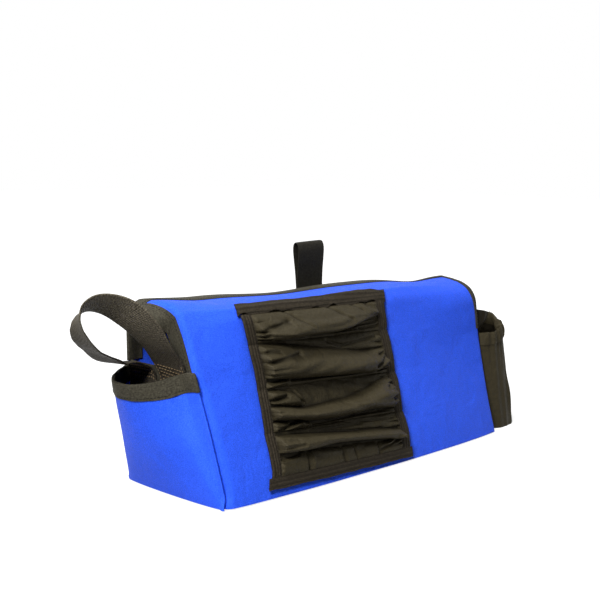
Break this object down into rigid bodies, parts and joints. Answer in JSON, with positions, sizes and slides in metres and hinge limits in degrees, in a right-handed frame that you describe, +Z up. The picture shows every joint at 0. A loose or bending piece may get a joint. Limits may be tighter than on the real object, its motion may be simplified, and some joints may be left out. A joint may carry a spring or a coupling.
{
  "type": "equipment caddy bag",
  "caption": "Oblong sewn cloth caddy bag: fold-over top flap, gathered elastic-edged sleeves on the front, a pocket at each end, a webbing end handle and a hanging loop.",
  "frame": {"origin": "centre of the flat underside of the base, on the surface the bag stands on", "axes": "+X along the bag from the handle end to the gathered pocket end, -Y out of the front with the sleeves, +Z up"},
  "size_m": [0.5533, 0.1485, 0.208],
  "materials": {
    "blue_cloth": "matt coated woven polyester, royal blue",
    "board": "matt black sheet",
    "binding_tape": "soft black folded tape with a slight sheen",
    "black_nylon": "thin black nylon, slightly shiny in the folds",
    "elastic": "white knitted elastic",
    "thread": "twisted black thread",
    "webbing": "black woven webbing with a ribbed face",
    "loop_tape": "smooth black woven tape"
  },
  "bodies": {
    "bag": {"base_panel": "blue_cloth", "front_panel": "blue_cloth", "back_panel": "blue_cloth", "left_end_wall": "blue_cloth", "right_end_wall": "blue_cloth", "left_pocket_panel": "blue_cloth", "base_board": "board", "base_seam_tape": "binding_tape", "corner_seam_tapes": "binding_tape", "front_binding_left": "binding_tape", "front_binding_right": "binding_tape", "back_binding": "binding_tape", "left_wall_binding": "binding_tape", "right_wall_binding": "binding_tape", "left_pocket_binding": "binding_tape", "sleeve_edge_tape_left": "binding_tape", "sleeve_edge_tape_right": "binding_tape", "sleeve_top_tape": "binding_tape", "sleeve_bottom_tape": "binding_tape", "right_pocket_wrap": "black_nylon", "right_pocket_base": "black_nylon", "right_pocket_casing": "black_nylon", "right_pocket_facing": "black_nylon", "sleeve_backing": "black_nylon", "sleeve_1": "black_nylon", "sleeve_2": "black_nylon", "sleeve_3": "black_nylon", "sleeve_4": "black_nylon", "right_pocket_elastic": "elastic", "sleeve_seam_stitches": "thread", "handle_stitches": "thread", "hang_loop_stitches": "thread", "handle_tab_front": "webbing", "handle_tab_back": "webbing", "hang_loop_tab": "loop_tape"},
    "flap": {"top_flap": "blue_cloth", "flap_binding": "binding_tape"},
    "handle": {"handle_webbing": "webbing"},
    "loop": {"hang_loop": "loop_tape"}
  },
  "joints": [
    {"name": "flap_fold", "type": "hinge", "parent": "bag", "child": "flap", "pos_m": [0, -0.01132, 0.16659], "axis": [1, 0, 0], "range_deg": [0, 175]},
    {"name": "handle_swing", "type": "hinge", "parent": "bag", "child": "handle", "pos_m": [-0.2041, 0.0185, 0.112], "axis": [0, 1, 0], "range_deg": [-9, 25]},
    {"name": "loop_swing", "type": "hinge", "parent": "bag", "child": "loop", "pos_m": [0.042, 0.0713, 0.152], "axis": [1, 0, 0], "range_deg": [-140, 50]}
  ]
}
